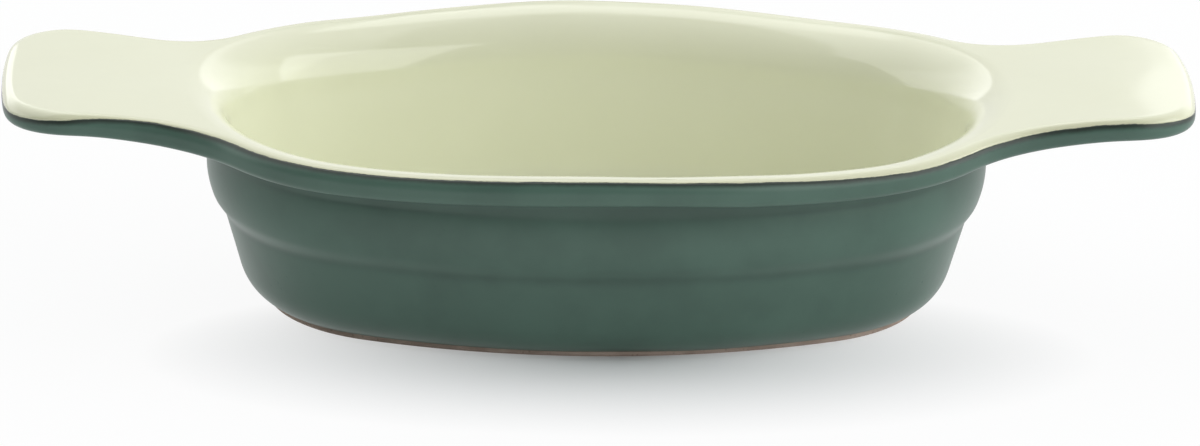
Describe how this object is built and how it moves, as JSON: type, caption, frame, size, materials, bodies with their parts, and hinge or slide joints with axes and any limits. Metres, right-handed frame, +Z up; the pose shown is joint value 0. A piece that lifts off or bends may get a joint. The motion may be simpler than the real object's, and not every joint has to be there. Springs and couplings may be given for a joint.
{
  "type": "gratin dish",
  "caption": "Oval glazed stoneware gratin dish with a flared rim, a broad flat lug handle at each end and a bare clay foot ring.",
  "frame": {"origin": "middle of the oval foot, on the plane that the dish stands on", "axes": "+X along the dish from the left lug to the right lug, +Y away from the viewer, +Z up out of the bowl"},
  "size_m": [0.3, 0.145, 0.0591],
  "materials": {
    "clay": "bare fired stoneware, matt",
    "cream_glaze": "glossy cream glaze",
    "green_glaze": "satin grey-green glaze"
  },
  "bodies": {
    "root": {"bowl": "clay", "foot_ring": "clay", "left_lug": "clay", "right_lug": "clay", "inner_glaze": "cream_glaze", "outer_glaze": "green_glaze", "base_glaze": "green_glaze"}
  },
  "joints": []
}
